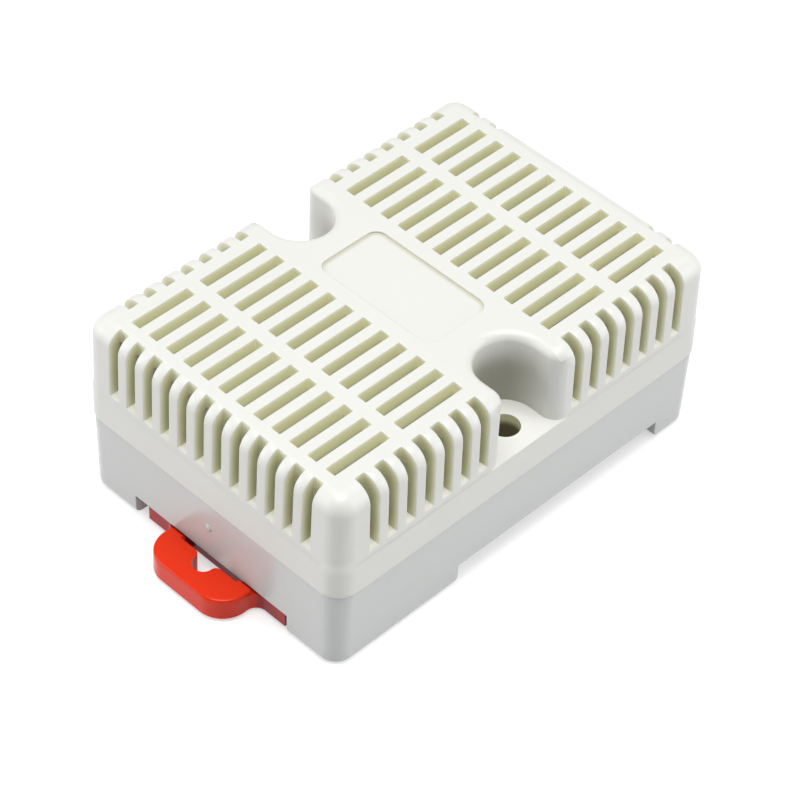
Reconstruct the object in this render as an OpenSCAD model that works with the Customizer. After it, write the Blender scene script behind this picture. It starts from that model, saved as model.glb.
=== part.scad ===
// Slotted two-part rail enclosure with a sliding clip.
// The cover and base meet at a parting line, the base straddles a 35 mm top-hat rail,
// and the clip slides along X under one end of the base to hold the rail's flange.
// Origin: rail centreline (X), middle of the width (Y), rail seat (Z). +Z is up.

/* [Case] */
// Length of the case at the parting line
case_l = 65; // [60:0.5:90]
// Width of the case at the parting line
case_w = 45; // [42:0.5:70]
// Height of the base from its feet to the parting line
base_h = 12.4; // [11:0.1:20]
// Height of the cover above the parting line
cover_h = 15.6; // [14:0.1:30]
// Radius of the vertical corners
corner_r = 3; // [2.8:0.1:4]
// Radius of the rounded top edge
top_edge_r = 2.5; // [2:0.1:2.8]
// Radius of the rounded bottom edge and feet
foot_edge_r = 1.1; // [0.6:0.1:1.4]
// Step by which the cover overhangs the base
overhang = 0.14; // [0.05:0.01:0.3]
// Draft angle of the cover's walls in degrees
cover_draft = 1; // [0.5:0.1:1.5]
// Draft angle of the base's walls in degrees
base_draft = 1.4; // [0.5:0.1:2]
// Thickness of the cover's walls
cover_wall = 1.8; // [1.6:0.1:2]
// Thickness of the cover's top and of its pockets
cover_top = 2.2; // [1.8:0.1:2.6]
// Wall thickness of the base
base_wall = 2; // [1.6:0.1:2.4]

/* [Vent slots] */
// Distance from one slot to the next
slot_pitch = 3.05; // [2.8:0.05:4]
// Width of each slot
slot_w = 1.5; // [1:0.1:1.8]
// Length of the slots in the rows beside the waist
inner_slot_l = 10.1; // [6:0.1:11]
// Bar between the two rows of a block
row_bar = 2.05; // [1.2:0.05:3]
// Bar between the outer row and the wrapped slots
end_bar = 1.75; // [1.2:0.05:3]
// Half width of the plain waist across the middle
waist_half = 7.45; // [7:0.05:9]
// Reach of the wrapped slots onto the top from the clip end and far end
end_reach = 2.2; // [1.8:0.1:3]
// Reach of the wrapped slots onto the top from the long sides
side_reach = 3.1; // [2.4:0.1:4]
// Height of the slot bottoms above the pocket floor
slot_rise = 1; // [0.6:0.1:2]
// Plain margin kept at the corners of the case
corner_margin = 4.8; // [4:0.1:6]
// Columns of wrapped slots at each side of the far end
far_end_slots = 2; // [1:1:3]

/* [Screw pockets] */
// Width of each screw pocket
pocket_w = 9; // [7:0.1:9.4]
// Distance from the side wall to the screw axis
screw_inset = 4.3; // [4:0.1:6]
// Height of the pocket floor above the parting line
pocket_floor = 4.7; // [4:0.1:7]
// Radius of the flared mouth of the pocket
mouth_r = 2.3; // [1:0.1:2.5]
// Radius of the rounded pocket rim
rim_r = 1.2; // [0.6:0.1:1.6]
// Diameter of the screw hole in the cover
screw_hole_d = 4; // [3:0.1:4.4]
// Diameter of the pilot hole in the base
pilot_d = 2.6; // [2:0.1:3]
// Outer diameter of the screw bosses
boss_d = 7.4; // [6.6:0.1:8]

/* [Label recess] */
// Size of the label recess along the case
label_l = 10.5; // [8:0.5:13]
// Size of the label recess across the case
label_w = 19.5; // [12:0.5:20]
// Depth of the label recess
label_depth = 0.35; // [0.2:0.05:0.6]
// Corner radius of the label recess
label_r = 1.7; // [0.8:0.1:3]

/* [Rail channel] */
// Width of the rail that the case fits
rail_w = 35; // [35:1:35]
// Play of the rail between the feet, in all
rail_play = 1.4; // [1:0.1:2]
// Distance from the middle of the case to the rail centreline
rail_offset = 7.15; // [5:0.05:7.4]
// Depth of the channel above the feet
channel_depth = 3.2; // [3:0.1:4]
// Radius of the rounded channel edges
channel_edge_r = 1.5; // [0.8:0.1:1.6]
// Gap for the rail's flange above the hooks and the clip's nose
flange_gap = 1.3; // [1.1:0.1:1.5]
// Reach of the fixed hooks into the channel
hook_reach = 1.95; // [1.6:0.05:2.4]
// Width of each fixed hook
hook_w = 8; // [5:0.5:10]

/* [Rail clip] */
// Width of the notch that the clip slides in
notch_w = 27.2; // [25:0.1:29]
// Thickness of the clip's plate
plate_t = 2.4; // [2:0.1:2.5]
// Height of the clip's underside above the feet
clip_lift = 0.5; // [0.4:0.1:0.7]
// Distance that the clip's nose reaches into the channel
nose_reach = 2; // [1.6:0.1:2.4]
// Travel of the clip from locked to open
clip_travel = 4; // [3:0.1:4]
// Width of the pull tab
tab_w = 14.6; // [12:0.2:17]
// Length of the raised pull tab
tab_l = 5; // [4:0.1:7]
// Thickness of the pull tab
tab_t = 3.1; // [2.8:0.1:3.6]
// Corner radius of the pull tab
tab_r = 3.8; // [2:0.1:4]
// Radius of the tool hole's round end
tool_hole_r = 1.45; // [1:0.05:1.6]
// Clearance round the clip
clip_gap = 0.3; // [0.2:0.05:0.4]
// Side play that lets the clip sit off the middle of its notch
clip_play = 0.7; // [0:0.1:0.8]

/* [Hidden] */
$fn = 48;

eps = 0.01;
reach_out = 6;
seam_gap = 0.2;

// Heights above the feet
split_z = base_h;
top_z = base_h + cover_h;
floor_z = split_z + pocket_floor;
slot_z = floor_z + slot_rise;
seat_z = channel_depth;
base_floor_z = seat_z + base_wall;

// Case walls
half_l = case_l / 2;
half_w = case_w / 2;
axis_x = half_l - corner_r;
axis_y = half_w - corner_r;
band_step = 0.1;
band_ease = 0.15;
band_draft = 0.4;
foot_r = corner_r - overhang;

// Screws
screw_y = half_w - screw_inset;
pocket_r = pocket_w / 2;
bucket_r = pocket_r + cover_top;
mouth_x = pocket_r + mouth_r;
mouth_y = half_w - pocket_floor * tan(band_draft) - band_step - mouth_r;

// Vent pattern
columns = floor((case_w - 2 * corner_margin + slot_pitch - slot_w) / slot_pitch);
side_slots = floor((half_l - corner_margin - waist_half + slot_pitch - slot_w) / slot_pitch);
end_slot_x = half_l - end_reach;
side_slot_y = half_w - side_reach;
outer_row_x = waist_half + inner_slot_l + row_bar;
outer_slot_l = end_slot_x - end_bar - outer_row_x;

// Rail and clip
channel_w = rail_w + rail_play;
near_foot_x = rail_offset - channel_w / 2;
far_foot_x = rail_offset + channel_w / 2;
hook_top_z = seat_z - flange_gap;
hook_y = notch_w / 2 - hook_w / 2 - 1;
recess_w = notch_w / 2;
lip_reach = 3;
lip_inner_w = recess_w - lip_reach;
clip_top_z = clip_lift + plate_t;
tongue_t = 1.3;
tongue_w = recess_w - clip_gap - clip_play;
tongue_z = clip_top_z - tongue_t;
plate_w = lip_inner_w - clip_gap - clip_play;
lip_top_z = tongue_z - clip_gap;
plate_setback = 0.8;
plate_front_x = -half_l + plate_setback;
plate_back_x = near_foot_x - 0.4;
flange_l = 1.2;
flange_w = tongue_w - 0.3;
flange_x = plate_front_x + flange_l;
lip_start_x = flange_x + clip_gap;
arm_l = 10;
arm_w = 1.6;
stop_l = 2;
stop_setback = 4.5;
stop_x = plate_back_x - stop_setback;
stop_rise = 1.4;
stop_pocket_w = tongue_w + stop_rise + clip_play + clip_gap;
nose_edge = 0.8;
nose_w = plate_w;
tab_back_x = -half_l - 0.1;
tab_front_x = tab_back_x - tab_l;
tab_draft = 0.5;
tab_edge_r = 0.4;
root_r = 1.6;
window_l = 1.9;
window_w = 10;
window_x = tab_back_x - 0.4;
shoulder_r = 0.8;
tool_hole_x = window_x - shoulder_r;

// Cores that lighten the feet from inside
core_floor_z = base_wall;
core_side_y = stop_pocket_w + 1;
core_end_x = half_l - overhang - base_wall - 0.3;
core_end_y = half_w - overhang - base_wall - 0.3;

// Seam lip and gate mark
seam_lip_t = 1;
seam_lip_h = 1.5;
gate_z = 8.2;
gate_d = 0.9;
gate_rise = 0.2;

// Board posts
post_d = 5;
post_hole_d = 2;
post_h = 3.8;
post_x = half_l - 8;
post_y = half_w - 8;
post_floor = 0.5;
pilot_floor = 1.2;

// Rounded box: the half profile goes round four corner axes and along four straight walls
module rounded_form(ax, ay, low, high) {
    for (sx = [0, 1], sy = [0, 1])
        mirror([sx, 0, 0]) mirror([0, sy, 0])
            translate([ax, ay, 0]) rotate_extrude(angle = 90) children();
    for (turn = [0, 180]) {
        rotate(turn) wall_run(ax, 2 * ay) children();
        rotate(turn + 90) wall_run(ay, 2 * ax) children();
    }
    translate([-ax, -ay, low]) cube([2 * ax, 2 * ay, high - low]);
}

// Straight wall at a distance from the middle, with the half profile as its section
module wall_run(reach, run) {
    translate([reach, run / 2, 0]) rotate([90, 0, 0]) linear_extrude(run) children();
}

// Drafted wall that ends in a rounded edge at the top, from a corner axis outwards
module edge_profile(r0, z0, z1, draft, edge_r) {
    centre_z = z1 - edge_r;
    centre_x = r0 - (centre_z - z0) * tan(draft) - edge_r / cos(draft);
    touch = [centre_x + edge_r * cos(draft), centre_z + edge_r * sin(draft)];
    polygon([[0, z0], [r0, z0], touch, [centre_x, centre_z], [centre_x, z1], [0, z1]]);
    translate([centre_x, centre_z]) quarter_disc(edge_r);
}

module quarter_disc(r) {
    intersection() {
        circle(r);
        square(r + eps);
    }
}

module cover_profile() {
    band_r = corner_r - pocket_floor * tan(band_draft);
    upper_r = band_r - band_step;
    upper_z = floor_z + band_ease;
    polygon([[0, split_z], [corner_r, split_z], [band_r, floor_z], [upper_r, upper_z], [0, upper_z]]);
    edge_profile(upper_r, upper_z, top_z, cover_draft, top_edge_r);
}

module cover_cavity_profile() {
    low_z = split_z - 1;
    high_z = top_z - cover_top;
    inner_r = corner_r - cover_wall - band_step;
    top_r = inner_r - (high_z - low_z) * tan(band_draft);
    polygon([[0, low_z], [inner_r, low_z], [top_r, high_z], [0, high_z]]);
}

// The base's profile is the same drafted wall turned upside down
module base_profile() {
    translate([0, split_z]) mirror([0, 1])
        edge_profile(foot_r, 0, split_z, base_draft, foot_edge_r);
}

module base_cavity_profile() {
    inner_r = foot_r - base_wall;
    bottom_r = inner_r - (split_z - base_floor_z) * tan(base_draft);
    polygon([[0, base_floor_z], [bottom_r, base_floor_z], [inner_r, split_z], [inner_r, split_z + 1],
             [0, split_z + 1]]);
}

// Pocket section: straight wall that flares into the rounded rim
module pocket_profile() {
    rim_z = top_z - rim_r;
    translate([0, floor_z]) square([pocket_r, cover_h]);
    difference() {
        translate([0, rim_z]) square([pocket_r + rim_r, rim_r + 1]);
        translate([pocket_r + rim_r, rim_z]) circle(rim_r);
    }
}

// Post of the mouth's flare, with the same rounded rim
module mouth_post_profile() {
    rim_z = top_z - rim_r;
    square([mouth_r, rim_z]);
    square([mouth_r - rim_r, top_z]);
    translate([mouth_r - rim_r, rim_z]) quarter_disc(rim_r);
}

// Round bowl round the screw, then a straight run that flares out between two posts
module pocket_cut() {
    translate([0, screw_y, 0]) rotate_extrude() pocket_profile();
    difference() {
        translate([-mouth_x, screw_y, floor_z])
            cube([2 * mouth_x, half_w + reach_out - screw_y, cover_h]);
        for (side = [0, 1]) mirror([side, 0, 0]) {
            translate([mouth_x, mouth_y, 0]) rotate_extrude() mouth_post_profile();
            translate([mouth_x, mouth_y, 0]) rotate([90, 0, 0])
                linear_extrude(mouth_y - screw_y + 1) mirror([1, 0]) mouth_post_profile();
        }
    }
}

// Solid bucket that the pocket is cut from
module pocket_bucket() {
    under_z = floor_z - cover_top;
    translate([0, screw_y, under_z]) rotate(180)
        rotate_extrude(angle = 180) square([bucket_r, top_z - under_z - 1]);
    translate([-waist_half, screw_y, under_z])
        cube([2 * waist_half, half_w - screw_y - 1, top_z - under_z - 1]);
    translate([0, screw_y, split_z + seam_gap]) cylinder(d = boss_d, h = under_z - split_z);
}

module both_sides() {
    children();
    mirror([0, 1, 0]) children();
}

module both_ends() {
    children();
    mirror([1, 0, 0]) children();
}

// Rows of slots in the top, two rows to a block
module top_slots() {
    translate([0, 0, top_z - cover_top - 1]) linear_extrude(cover_top + 2)
        for (side = [-1, 1], i = [0:columns - 1]) {
            y = (i - (columns - 1) / 2) * slot_pitch - slot_w / 2;
            inner_x = side > 0 ? waist_half : -waist_half - inner_slot_l;
            outer_x = side > 0 ? outer_row_x : -outer_row_x - outer_slot_l;
            translate([inner_x, y]) square([inner_slot_l, slot_w]);
            translate([outer_x, y]) square([outer_slot_l, slot_w]);
        }
}

// Slots that wrap over the top edge and down an end
module end_slots(list) {
    translate([end_slot_x, 0, slot_z]) for (i = list)
        translate([0, (i - (columns - 1) / 2) * slot_pitch - slot_w / 2, 0])
            cube([end_reach + reach_out, slot_w, cover_h]);
}

// Slots that wrap over the top edge and down a long side
module side_slots_cut() {
    for (i = [0:side_slots - 1])
        translate([waist_half + i * slot_pitch, side_slot_y, slot_z])
            cube([slot_w, side_reach + reach_out, cover_h]);
}

module label_outline() {
    flat_l = label_l / 2 - label_r;
    flat_w = label_w / 2 - label_r;
    square([label_l, 2 * flat_w], center = true);
    square([2 * flat_l, label_w], center = true);
    for (x = [-flat_l, flat_l], y = [-flat_w, flat_w])
        translate([x, y]) circle(label_r);
}

module top_cover() {
    edge_columns = [for (i = [0:columns - 1]) if (i < far_end_slots || i >= columns - far_end_slots) i];
    color("ivory") difference() {
        union() {
            difference() {
                rounded_form(axis_x, axis_y, split_z, top_z) cover_profile();
                rounded_form(axis_x, axis_y, split_z - 1, top_z - cover_top) cover_cavity_profile();
            }
            both_sides() pocket_bucket();
        }
        both_sides() {
            pocket_cut();
            translate([0, screw_y, 0]) cylinder(d = screw_hole_d, h = floor_z + 1);
        }
        top_slots();
        both_ends() both_sides() side_slots_cut();
        mirror([1, 0, 0]) end_slots([0:columns - 1]);
        end_slots(edge_columns);
        translate([0, 0, top_z - label_depth]) linear_extrude(1) label_outline();
    }
}

// Channel across the feet, with rounded foot edges
module channel_cut() {
    translate([0, half_w + reach_out, 0]) rotate([90, 0, 0])
        linear_extrude(case_w + 2 * reach_out) difference() {
            translate([near_foot_x - channel_edge_r, -1])
                square([channel_w + 2 * channel_edge_r, seat_z + 1]);
            for (x = [near_foot_x - channel_edge_r, far_foot_x + channel_edge_r]) {
                translate([x, channel_edge_r]) circle(channel_edge_r);
                translate([x - channel_edge_r, channel_edge_r])
                    square([2 * channel_edge_r, seat_z]);
            }
        }
}

module hook() {
    section = [[eps, 0], [-hook_reach / 2, 0], [-hook_reach, hook_top_z / 2], [-hook_reach, hook_top_z],
               [channel_edge_r + 1, hook_top_z], [channel_edge_r + 1, 0]];
    translate([far_foot_x, hook_y + hook_w / 2, 0]) rotate([90, 0, 0])
        linear_extrude(hook_w) polygon(section);
}

// Guide under one side of the clip
module clip_lip() {
    translate([lip_start_x, lip_inner_w, 0])
        cube([near_foot_x - channel_edge_r - lip_start_x, lip_reach + eps, lip_top_z]);
}

// Long side pocket that stops the clip's bump
module stop_pocket() {
    translate([stop_x - clip_travel - clip_gap, 0, lip_top_z])
        cube([stop_l + clip_travel + 2 * clip_gap, stop_pocket_w, seat_z - lip_top_z]);
}

// Lip inside the parting line that locates the cover
module seam_lip() {
    lip_r = corner_r - cover_wall - band_step - seam_gap;
    lip_in_x = axis_x + lip_r - seam_lip_t;
    lip_in_y = axis_y + lip_r - seam_lip_t;
    difference() {
        union() {
            rounded_form(axis_x, axis_y, split_z - seam_lip_h, split_z)
                translate([0, split_z - seam_lip_h]) square([foot_r - base_wall / 2, seam_lip_h]);
            rounded_form(axis_x, axis_y, split_z, split_z + seam_lip_h)
                translate([0, split_z]) square([lip_r, seam_lip_h]);
        }
        translate([-lip_in_x, -lip_in_y, 0]) cube([2 * lip_in_x, 2 * lip_in_y, top_z]);
        translate([-boss_d / 2 - 2 * seam_gap, -case_w, 0])
            cube([boss_d + 4 * seam_gap, 2 * case_w, top_z]);
    }
}

// Small disc left by the moulding gate
module gate_mark() {
    wall_x = half_l - overhang - (split_z - gate_z) * tan(base_draft);
    translate([-wall_x - gate_rise, 0, gate_z]) rotate([0, 90, 0]) cylinder(d = gate_d, h = 1);
}

module screw_boss() {
    translate([0, screw_y, seat_z]) cylinder(d = boss_d, h = split_z - seat_z);
}

module at_posts() {
    for (x = [-post_x, post_x], y = [-post_y, post_y])
        translate([x, y, base_floor_z]) children();
}

// Hollows over the feet that keep their walls even
module foot_cores() {
    both_sides() translate([-core_end_x, core_side_y, core_floor_z])
        cube([near_foot_x - base_wall + core_end_x, core_end_y - core_side_y, base_h]);
    translate([far_foot_x + base_wall, -core_end_y, core_floor_z])
        cube([core_end_x - far_foot_x - base_wall, 2 * core_end_y, base_h]);
}

module base() {
    color("whitesmoke") difference() {
        union() {
            difference() {
                rounded_form(axis_x, axis_y, 0, split_z) base_profile();
                rounded_form(axis_x, axis_y, base_floor_z, split_z + 1) base_cavity_profile();
                channel_cut();
                translate([-half_l - 1, -recess_w, -1])
                    cube([half_l + 1 + near_foot_x, notch_w, seat_z + 1]);
                foot_cores();
            }
            both_sides() {
                hook();
                clip_lip();
                screw_boss();
            }
            at_posts() translate([0, 0, -eps]) cylinder(d = post_d, h = post_h);
            seam_lip();
            gate_mark();
        }
        both_sides() {
            stop_pocket();
            translate([0, screw_y, seat_z + pilot_floor]) cylinder(d = pilot_d, h = split_z);
        }
        at_posts() translate([0, 0, post_floor]) cylinder(d = post_hole_d, h = post_h);
    }
}

module rail_clip() {
    color("orangered") translate([0, -clip_play, 0]) difference() {
        union() {
            // Front flange, plate between the guides and tongues above them
            clip_slab(plate_front_x, flange_x + eps, flange_w, clip_lift);
            clip_slab(flange_x, plate_back_x, plate_w, clip_lift);
            clip_slab(flange_x, plate_back_x, tongue_w, tongue_z);
            // Bump at the end of each arm that its long pocket stops
            both_sides() translate([stop_x, tongue_w - eps, tongue_z])
                cube([stop_l, stop_rise + eps, tongue_t]);
            nose();
            tab();
        }
        // Slits that free the arms
        both_sides() translate([plate_back_x - arm_l, nose_w, clip_lift - 1])
            cube([arm_l + 1, tongue_w - arm_w - nose_w, plate_t + 2]);
        tool_hole();
    }
}

module clip_slab(x0, x1, reach, z0) {
    translate([x0, -reach, z0]) cube([x1 - x0, 2 * reach, clip_top_z - z0]);
}

module nose() {
    tip_x = near_foot_x + nose_reach;
    section = [[plate_back_x - eps, clip_lift], [near_foot_x, clip_lift], [tip_x, hook_top_z - nose_edge],
               [tip_x, hook_top_z], [plate_back_x - eps, hook_top_z]];
    translate([0, nose_w, 0]) rotate([90, 0, 0]) linear_extrude(2 * nose_w) polygon(section);
}

// Pull tab: rounded slab, its neck under the wall and the root fillets
module tab() {
    ay = tab_w / 2 - tab_r;
    translate([0, 0, clip_lift]) intersection() {
        translate([tab_back_x, 0, 0]) rounded_form(tab_l - tab_r, ay, 0, tab_t)
            edge_profile(tab_r, 0, tab_t, tab_draft, tab_edge_r);
        translate([tab_front_x - 1, -tab_w, -1]) cube([tab_l + 1, 2 * tab_w, tab_t + 2]);
    }
    translate([tab_back_x - eps, 0, clip_lift]) linear_extrude(plate_t) neck_plan();
}

module neck_plan() {
    run = plate_front_x - tab_back_x + 2 * eps;
    translate([0, -tab_w / 2]) square([run, tab_w]);
    for (s = [0, 1]) mirror([0, s]) difference() {
        translate([run - root_r, tab_w / 2 - eps]) square([root_r, root_r]);
        translate([run - root_r, tab_w / 2 + root_r]) circle(root_r);
    }
}

// Round tool hole whose shoulders flare into a short window across the neck
module tool_hole() {
    translate([0, 0, clip_lift - 1]) linear_extrude(tab_t + 2) {
        translate([window_x, -window_w / 2]) square([window_l, window_w]);
        translate([tool_hole_x, 0]) circle(tool_hole_r);
        translate([tool_hole_x, -tool_hole_r])
            square([window_x - tool_hole_x + eps, 2 * tool_hole_r]);
        for (s = [0, 1]) mirror([0, s]) difference() {
            translate([tool_hole_x, tool_hole_r - eps]) square([shoulder_r + eps, shoulder_r]);
            translate([tool_hole_x, tool_hole_r + shoulder_r]) circle(shoulder_r);
        }
    }
}

// Moves the case frame, with its zero at the feet, to the rail seat
module from_rail_seat() {
    translate([-rail_offset, 0, -seat_z]) children();
}

from_rail_seat() top_cover();
from_rail_seat() base();
from_rail_seat() rail_clip();
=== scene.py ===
import math

import bmesh
import bpy
from mathutils import Matrix, Vector


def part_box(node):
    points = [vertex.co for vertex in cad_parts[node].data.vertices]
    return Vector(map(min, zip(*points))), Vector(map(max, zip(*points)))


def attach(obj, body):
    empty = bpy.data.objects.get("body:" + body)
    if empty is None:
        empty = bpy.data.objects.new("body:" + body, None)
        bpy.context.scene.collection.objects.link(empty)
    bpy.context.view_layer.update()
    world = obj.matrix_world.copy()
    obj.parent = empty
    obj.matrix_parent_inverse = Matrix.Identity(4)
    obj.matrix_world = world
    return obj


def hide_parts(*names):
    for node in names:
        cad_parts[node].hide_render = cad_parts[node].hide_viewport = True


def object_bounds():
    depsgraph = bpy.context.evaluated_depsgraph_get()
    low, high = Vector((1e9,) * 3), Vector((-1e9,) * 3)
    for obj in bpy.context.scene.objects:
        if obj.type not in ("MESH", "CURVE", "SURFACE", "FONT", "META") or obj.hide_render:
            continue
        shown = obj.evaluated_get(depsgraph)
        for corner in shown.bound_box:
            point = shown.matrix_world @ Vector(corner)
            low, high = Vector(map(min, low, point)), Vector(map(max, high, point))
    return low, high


# DIN rail enclosure: a slotted off-white cover, a plain base and a glossy orange-red rail clip.
# Metres, +Z up, origin on the rail seat. The clip end faces -X.

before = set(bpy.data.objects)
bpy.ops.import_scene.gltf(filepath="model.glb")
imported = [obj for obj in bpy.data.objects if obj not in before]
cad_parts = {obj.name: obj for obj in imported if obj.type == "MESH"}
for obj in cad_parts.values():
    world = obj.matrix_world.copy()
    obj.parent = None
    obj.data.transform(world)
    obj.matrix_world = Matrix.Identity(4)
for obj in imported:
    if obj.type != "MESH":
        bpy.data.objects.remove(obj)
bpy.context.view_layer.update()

mm = 0.001
coverLow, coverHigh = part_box("top_cover")
caseMiddleX = (coverLow[0] + coverHigh[0]) / 2


class Sock:
    # a socket of a node tree that takes part in Python expressions

    def __init__(self, tree, socket=None):
        self.tree = tree
        self.socket = socket

    def fill(self, target, sockets):
        # links or sets the sockets of a node
        for key, value in sockets.items():
            entry = target.inputs[key]
            if isinstance(value, Sock):
                self.tree.links.new(value.socket, entry)
            elif isinstance(value, tuple) and entry.type == "RGBA":
                entry.default_value = (*value, 1)
            else:
                entry.default_value = value

    def node(self, kind, settings=None, sockets=None, output=0):
        made = self.tree.nodes.new(kind)
        for name, value in (settings or {}).items():
            setattr(made, name, value)
        self.fill(made, sockets or {})
        return Sock(self.tree, made.outputs[output])

    def math(self, operation, *values):
        return self.node("ShaderNodeMath", {"operation": operation}, dict(enumerate(values)))

    def __add__(self, other):
        return self.math("ADD", self, other)

    def __radd__(self, other):
        return self.math("ADD", other, self)

    def __sub__(self, other):
        return self.math("SUBTRACT", self, other)

    def __rsub__(self, other):
        return self.math("SUBTRACT", other, self)

    def __mul__(self, other):
        return self.math("MULTIPLY", self, other)

    def __rmul__(self, other):
        return self.math("MULTIPLY", other, self)

    def __truediv__(self, other):
        return self.math("DIVIDE", self, other)

    def __pow__(self, other):
        return self.math("POWER", self, other)

    def __abs__(self):
        return self.math("ABSOLUTE", self)

    def atLeast(self, other):
        return self.math("MAXIMUM", self, other)

    def ramp(self, ends):
        # 0 at the first end, 1 at the second, smooth between
        settings = {"interpolation_type": "SMOOTHSTEP"}
        return self.node("ShaderNodeMapRange", settings, {0: self, 1: ends[0], 2: ends[1]})

    def mixColour(self, low, high):
        return self.node("ShaderNodeMix", {"data_type": "RGBA"}, {0: self, 6: low, 7: high}, 2)

    def part(self, axis):
        return self.node("ShaderNodeSeparateXYZ", None, {0: self}, axis)

    def noise(self, scale, detail, roughness=0.5):
        values = {"Vector": self, "Scale": scale, "Detail": detail, "Roughness": roughness}
        return self.node("ShaderNodeTexNoise", None, values)

    def bump(self, strength, distance):
        values = {"Height": self, "Strength": strength, "Distance": distance}
        return self.node("ShaderNodeBump", None, values)


def newMaterial(name):
    # a Principled material, its shader node and the place on the object in metres
    made = bpy.data.materials.new(name)
    made.use_nodes = True
    tree = made.node_tree
    place = Sock(tree).node("ShaderNodeTexCoord", output="Object")
    return made, tree.nodes["Principled BSDF"], place


def awayFromMiddle(place):
    # distances from the middle of the case along it and across it, and the height, in millimetres
    return abs(place.part("X") - caseMiddleX) / mm, abs(place.part("Y")) / mm, place.part("Z") / mm


def outerCreases(shape, low, high, alsoRound, leaveSharp):
    # sharp edges on the outside of a moulding, not the ones on its inner walls
    sharp = math.radians(40)
    deepest = 1.2 * mm
    found = []
    for edge in shape.edges:
        if edge.calc_face_angle(0) < sharp:
            continue
        middle = (edge.verts[0].co + edge.verts[1].co) / 2
        depths = [high[2] - middle.z, middle.x - low[0], high[0] - middle.x,
                  middle.y - low[1], high[1] - middle.y]
        if low[2] < 0:  # the underside counts, but not the cover's open mouth
            depths.append(middle.z - low[2])
        if (min(depths) < deepest or alsoRound(middle)) and not leaveSharp(middle):
            found.append(edge)
    return found


def softenedCopy(node, body, name, finish, rounding=0, alsoRound=None, leaveSharp=None):
    # the node's own mesh with its outer moulded edges rounded over
    merge = 0.015 * mm
    flat = math.radians(0.4)
    sharp = math.radians(50)
    low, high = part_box(node)
    shape = bmesh.new()
    shape.from_mesh(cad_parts[node].data)
    bmesh.ops.remove_doubles(shape, verts=shape.verts, dist=merge)
    bmesh.ops.dissolve_degenerate(shape, edges=shape.edges, dist=merge)
    bmesh.ops.dissolve_limit(shape, angle_limit=flat, use_dissolve_boundaries=False,
                             verts=shape.verts, edges=shape.edges)
    if rounding:
        creases = outerCreases(shape, low, high, alsoRound, leaveSharp)
        bmesh.ops.bevel(shape, geom=creases, offset=rounding * mm, offset_type="OFFSET", segments=2,
                        profile=0.5, affect="EDGES", clamp_overlap=False, material=-1)
    for corner in shape.verts:
        corner.co = [min(max(corner.co[axis], low[axis]), high[axis]) for axis in range(3)]
    shape.normal_update()
    for edge in shape.edges:
        edge.smooth = edge.calc_face_angle(0) < sharp
    for face in shape.faces:
        face.smooth = True
    mesh = bpy.data.meshes.new(name)
    shape.to_mesh(mesh)
    shape.free()
    mesh.materials.append(finish)
    piece = bpy.data.objects.new(name, mesh)
    bpy.context.collection.objects.link(piece)
    normals = piece.modifiers.new("even normals", "WEIGHTED_NORMAL")
    normals.keep_sharp = True
    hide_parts(node)
    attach(piece, body)
    print(name, "made")
    return piece


# Sizes are in millimetres, and each pair of them is a ramp: nothing at the first, full at the second.
cover = {
    "colour": (0.80, 0.80, 0.765), "worn": (0.775, 0.775, 0.74), "roughness": 0.38,
    # painted shade and painted light: olive in the slots, darker deeper in them
    "slot": (0.62, 0.615, 0.42), "deepSlotShade": (0.42, 0.41, 0.27),
    # painted shade: darker colours in the pocket's bowl, its screw hole and the label recess
    "bowl": (0.36, 0.355, 0.295), "hole": (0.17, 0.15, 0.095), "mark": (0.52, 0.51, 0.38),
    # painted light: glow standing in for light that comes through the shell or back from the pocket's walls
    "through": (0.18, 0.175, 0.11), "sill": (0.16, 0.16, 0.145), "floor": (0.03, 0.03, 0.028),
    "rimGlow": 0.55, "insideGlow": 0.55, "holeGlow": 0.7, "sideGlow": 0.3,
    "rounding": 0.16,
    # the drafted wall above the pockets' floor, its corners and its rounded top edge
    "pocketFloor": 13.9, "aboveFloor": (13.85, 14.0), "setBack": 0.1, "draft": 1,
    "corner": 3, "topEdge": 2.5, "ledge": (0.6, 0.95), "waist": (6.9, 7.35),
    # how the painted shade in the slots grows with depth
    "slotTint": (0.03, 0.75), "deepTint": (0.75, 2.1), "rimIn": (0.02, 0.15), "rimOut": (1.1, 0.3),
    "inside": (1.7, 2.1), "sillIn": (0.1, 0.4), "sillBelowTop": (3, 4),
    "rowsX": (30.3, 29.9), "rowsY": (19.4, 19.1), "rowsBelowTop": (3.2, 1.4),
    # screw pocket and its hole
    "bowlX": (7.4, 3.0), "bowlY": (22.0, 16.0), "bowlTop": (23.8, 19.0), "bowlFoot": (13.9, 14.0),
    "floorX": (6.9, 6.8), "floorBelowTop": (10.7, 10.8),
    "holeX": (2.2, 2.02), "holeY": (20.6, 20.3), "holeTop": (13.9, 13.6), "holeFoot": (13.2, 11.9),
    # label recess: painted shade on its walls, and a soft painted shade on its floor along the two far
    # walls
    "markX": (5.4, 5.3), "markY": (9.9, 9.8), "markTop": (0.1, 0.2), "markFloor": (0.5, 0.4),
    "markFlatX": 3.55, "markFlatY": 8.05, "shadeReach": (0.95, 1.7), "shade": 0.8,
    "shadeSlant": 0.5, "shadeSide": (-1.5, 1.0),
}


def depthInShell(across, out, height, fromTop):
    # depth below the cover's own drafted wall and rounded top edge
    halfX = (coverHigh[0] - caseMiddleX) / mm
    halfY = coverHigh[1] / mm
    lean = math.tan(math.radians(cover["draft"]))
    inset = (height - cover["pocketFloor"]) * lean + cover["setBack"]
    inset = inset * height.ramp(cover["aboveFloor"])
    pastX = (across - (halfX - cover["corner"])).atLeast(0)
    pastY = (out - (halfY - cover["corner"])).atLeast(0)
    sideways = (pastX ** 2 + pastY ** 2) ** 0.5 + inset - (cover["corner"] - cover["topEdge"])
    upwards = cover["topEdge"] - fromTop
    return cover["topEdge"] - (sideways.atLeast(0) ** 2 + upwards.atLeast(0) ** 2) ** 0.5


# painted shade on the label recess's walls and along its two far walls
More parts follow.
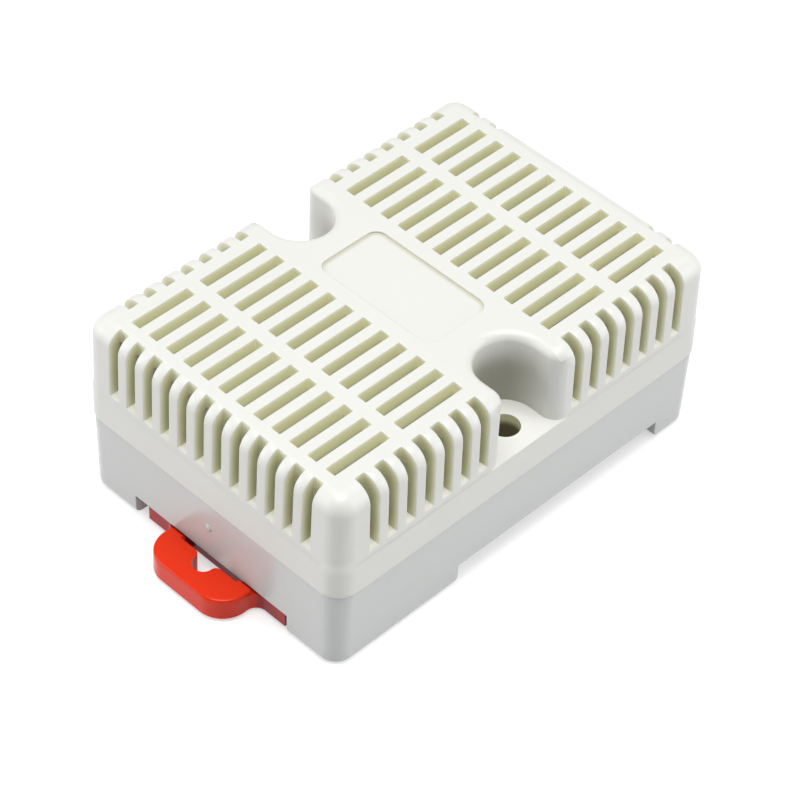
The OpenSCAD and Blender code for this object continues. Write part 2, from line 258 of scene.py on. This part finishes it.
def recessShadeMask(place, across, out, fromTop, ledge):
    pastX = (across - cover["markFlatX"]).atLeast(0)
    pastY = (out - cover["markFlatY"]).atLeast(0)
    farWallShade = ((pastX ** 2 + pastY ** 2) ** 0.5).ramp(cover["shadeReach"]) * cover["shade"]
    side = (place.part("X") - caseMiddleX + place.part("Y") * cover["shadeSlant"]) / mm
    farWallShade = farWallShade * ledge * side.ramp(cover["shadeSide"])
    shadedRecess = across.ramp(cover["markX"]) * out.ramp(cover["markY"]) * ((1 - ledge) + farWallShade)
    return shadedRecess * fromTop.ramp(cover["markFloor"]) * fromTop.ramp(cover["markTop"])


def makeCoverPlastic():
    # off-white outside, with olive painted shade and painted light where the slots cut through the shell
    # and light comes through it
    made, shader, place = newMaterial("cover plastic")
    cloud = place.noise(45, 2)
    grain = place.noise(9000, 2, 0.6)
    across, out, height = awayFromMiddle(place)
    fromTop = coverHigh[2] / mm - height
    ledge = place.node("ShaderNodeNewGeometry", output="Normal").part("Z").ramp(cover["ledge"])
    upright = 1 - ledge
    depth = depthInShell(across, out, height, fromTop)
    waist = across.ramp(cover["waist"])
    inSlot = depth.ramp(cover["slotTint"]) * waist * upright
    inRows = across.ramp(cover["rowsX"]) * out.ramp(cover["rowsY"])
    inRows = cover["sideGlow"] + (1 - cover["sideGlow"]) * inRows
    inTop = fromTop.ramp(cover["rowsBelowTop"]) * inRows
    deepShadeMask = depth.ramp(cover["deepTint"]) * (1 - inTop)
    inHole = across.ramp(cover["holeX"]) * out.ramp(cover["holeY"]) * height.ramp(cover["holeTop"])
    lowHole = height.ramp(cover["holeFoot"])
    inBowl = across.ramp(cover["bowlX"]) * out.ramp(cover["bowlY"]) * height.ramp(cover["bowlTop"])
    inBowl = inBowl * height.ramp(cover["bowlFoot"]) * upright
    # painted light on the screw pocket's floor
    onFloor = across.ramp(cover["floorX"]) * fromTop.ramp(cover["floorBelowTop"]) * ledge
    outside = cloud.mixColour(cover["worn"], cover["colour"])
    # painted shade: olive in the slots, darker deeper in them
    slotted = inSlot.mixColour(outside, deepShadeMask.mixColour(cover["slot"], cover["deepSlotShade"]))
    # painted shade in the label recess
    marked = recessShadeMask(place, across, out, fromTop, ledge).mixColour(slotted, cover["mark"])
    # painted shade: darker in the screw hole, darkest low down, and in the pocket's bowl
    hole = lowHole.mixColour(cover["deepSlotShade"], cover["hole"])
    colour = inHole.mixColour(inBowl.mixColour(marked, cover["bowl"]), hole)
    # painted light: glow near the slot rims, deeper inside the shell and in the screw hole
    rim = depth.ramp(cover["rimIn"]) * depth.ramp(cover["rimOut"]) * waist * upright
    shine = inSlot * inTop + cover["rimGlow"] * rim
    shine = shine.atLeast(cover["insideGlow"] * waist * depth.ramp(cover["inside"]))
    shine = shine.atLeast(cover["holeGlow"] * inHole * (1 - lowHole))
    # painted light: glow on the sills at the foot of the slots
    onSill = depth.ramp(cover["sillIn"]) * waist * ledge * fromTop.ramp(cover["sillBelowTop"])
    lit = onSill.mixColour(shine.mixColour((0, 0, 0), cover["through"]), cover["sill"])
    place.fill(shader, {
        "Base Color": colour,
        # painted light: glow through the shell, on the sills and on the pocket's floor
        "Emission Color": (onFloor * (1 - inHole)).mixColour(lit, cover["floor"]),
        "Emission Strength": 1,
        "Roughness": cover["roughness"] - 0.05 + 0.1 * cloud,
        "Normal": grain.bump(0.12, 0.02 * mm),
        "IOR": 1.5,
    })
    return made


def onPocketRim(spot):
    return abs(spot.x - caseMiddleX) < 7.4 * mm and spot.z > 14.1 * mm


def inPocketFoot(spot):
    # the pocket's floor and the outer end of its mouth
    low = spot.z < 14.1 * mm or abs(spot.y) > 20.6 * mm
    return abs(spot.x - caseMiddleX) < 7.2 * mm and low


softenedCopy("top_cover", "case", "slotted_cover_shell", makeCoverPlastic(),
             cover["rounding"], onPocketRim, inPocketFoot)

base = {
    "colour": (0.64, 0.655, 0.645), "worn": (0.625, 0.64, 0.63), "roughness": 0.2,
    # painted shade and painted light: olive colour and glow in the cavity seen through the slots
    "inside": (0.26, 0.255, 0.17), "through": (0.12, 0.12, 0.07),
    "insideX": (30.6, 30.2), "insideY": (20.6, 20.2), "insideZ": (1, 1.5), "rounding": 0.14,
}


def makeBasePlastic():
    # glossier and greyer than the cover, with olive painted shade and painted light in the cavity that
    # shows through the slots
    made, shader, place = newMaterial("base plastic")
    cloud = place.noise(40, 2)
    ripple = place.noise(160, 1)
    across, out, height = awayFromMiddle(place)
    # painted shade and painted light in the cavity
    inside = across.ramp(base["insideX"]) * out.ramp(base["insideY"]) * height.ramp(base["insideZ"])
    shell = cloud.mixColour(base["worn"], base["colour"])
    place.fill(shader, {
        "Base Color": inside.mixColour(shell, base["inside"]),
        "Emission Color": inside.mixColour((0, 0, 0), base["through"]),
        "Emission Strength": 1,
        "Roughness": base["roughness"] - 0.02 + 0.05 * cloud,
        "Normal": ripple.bump(0.04, 0.05 * mm),
        "IOR": 1.55,
    })
    return made


def inRailChannel(spot):
    return spot.z < 0.1 * mm


def nowhere(spot):
    return False


softenedCopy("base", "case", "rail_base_shell", makeBasePlastic(),
             base["rounding"], inRailChannel, nowhere)

clip = {
    # plate: painted shade, a darker red where the plate slides under the case
    "colour": (0.80, 0.034, 0.004), "deep": (0.76, 0.028, 0.004), "plate": (0.42, 0.016, 0.02),
    "tabEnd": (-39.7, -39.0), "roughness": 0.22,
}


def makeClipPlastic():
    # bright on the tab; painted shade makes the plate that slides under the case a darker red
    made, shader, place = newMaterial("clip plastic")
    cloud = place.noise(120, 2)
    grain = place.noise(5000, 2)
    plateShadeMask = (place.part("X") / mm).ramp(clip["tabEnd"])
    tab = cloud.mixColour(clip["deep"], clip["colour"])
    place.fill(shader, {
        "Base Color": plateShadeMask.mixColour(tab, clip["plate"]),
        "Roughness": clip["roughness"] - 0.03 + 0.07 * cloud,
        "Normal": grain.bump(0.08, 0.02 * mm),
        "IOR": 1.5,
        "Specular IOR Level": 0.25,
    })
    return made


softenedCopy("rail_clip", "clip", "sliding_rail_clip", makeClipPlastic())

studio = {
    "floorHalf": 6, "floorGap": 0.02 * mm, "floorColour": (0.62, 0.62, 0.62), "floorGlow": 0.55,
    "worldLight": 0.15, "backdrop": (0.8, 0.8, 0.8),
    "place": (-209.9, -188.8, 277.1), "ahead": (0.5230, 0.4855, -0.7005), "tilt": 2.98, "lens": 137.9,
    "aim": (0, 0, 0.01),
    "softboxes": {  # place, width and watts
        "overhead softbox": ((-0.05, -0.05, 0.7), 0.55, 4.9),
        "right softbox": ((0.50, -0.60, 0.24), 0.5, 2.4),
        "left softbox": ((-0.56, 0.56, 0.24), 0.5, 2.8),
    },
}


def makeFloorWhite():
    # brighter where the camera or a reflection sees it, without more light on the object
    made = bpy.data.materials.new("floor white")
    made.use_nodes = True
    tree = made.node_tree
    shader = tree.nodes["Principled BSDF"]
    start = Sock(tree)
    start.fill(shader, {"Base Color": studio["floorColour"], "Roughness": 0.9,
                        "Specular IOR Level": 0.1, "Emission Color": (1, 1, 1)})
    plain = Sock(tree, shader.outputs[0])
    camera = start.node("ShaderNodeLightPath", output="Is Camera Ray")
    glossy = start.node("ShaderNodeLightPath", output="Is Glossy Ray")
    glow = start.node("ShaderNodeEmission", None, {"Strength": studio["floorGlow"]})
    bright = start.node("ShaderNodeAddShader", None, {0: plain, 1: glow})
    surface = start.node("ShaderNodeMixShader", None, {0: camera + glossy, 1: plain, 2: bright})
    start.fill(tree.nodes["Material Output"], {"Surface": surface})
    return made


def makeFloor():
    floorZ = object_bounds()[0][2] - studio["floorGap"]
    mesh = bpy.data.meshes.new("floor")
    shape = bmesh.new()
    bmesh.ops.create_grid(shape, x_segments=1, y_segments=1, size=studio["floorHalf"],
                          matrix=Matrix.Translation((0, 0, floorZ)))
    shape.to_mesh(mesh)
    shape.free()
    floor = bpy.data.objects.new("floor", mesh)
    bpy.context.collection.objects.link(floor)
    mesh.materials.append(makeFloorWhite())


def makeCamera():
    ahead = Vector(studio["ahead"]).normalized()
    tilt = math.radians(studio["tilt"])
    level = ahead.cross(Vector((0, 0, 1))).normalized()
    over = level.cross(ahead)
    right = level * math.cos(tilt) + over * math.sin(tilt)
    up = over * math.cos(tilt) - level * math.sin(tilt)
    data = bpy.data.cameras.new("camera")
    data.lens = studio["lens"]
    data.sensor_width = 36
    data.clip_start = 0.01
    data.clip_end = 20
    camera = bpy.data.objects.new("camera", data)
    turn = Matrix((right, up, -ahead)).transposed()
    camera.matrix_world = Matrix.Translation(Vector(studio["place"]) * mm) @ turn.to_4x4()
    bpy.context.collection.objects.link(camera)
    bpy.context.scene.camera = camera


def makeWorld():
    world = bpy.data.worlds.new("studio")
    bpy.context.scene.world = world
    world.use_nodes = True
    tree = world.node_tree
    tree.nodes.clear()
    start = Sock(tree)
    light = start.node("ShaderNodeBackground", None, {"Color": (1, 1, 1), "Strength": studio["worldLight"]})
    backdrop = start.node("ShaderNodeBackground", None, {"Color": studio["backdrop"], "Strength": 1})
    camera = start.node("ShaderNodeLightPath", output="Is Camera Ray")
    surface = start.node("ShaderNodeMixShader", None, {0: camera, 1: light, 2: backdrop})
    start.fill(tree.nodes.new("ShaderNodeOutputWorld"), {"Surface": surface})


def makeLamp(name, place, width, power):
    data = bpy.data.lights.new(name, "AREA")
    data.shape = "RECTANGLE"
    data.size = width
    data.size_y = width
    data.energy = power
    lamp = bpy.data.objects.new(name, data)
    lamp.location = place
    toObject = Vector(studio["aim"]) - Vector(place)
    lamp.rotation_euler = toObject.to_track_quat("-Z", "Y").to_euler()
    bpy.context.collection.objects.link(lamp)


makeFloor()
makeCamera()
makeWorld()
for name, (place, width, power) in studio["softboxes"].items():
    makeLamp(name, place, width, power)
bpy.context.scene.view_settings.view_transform = "Standard"
print("studio made")
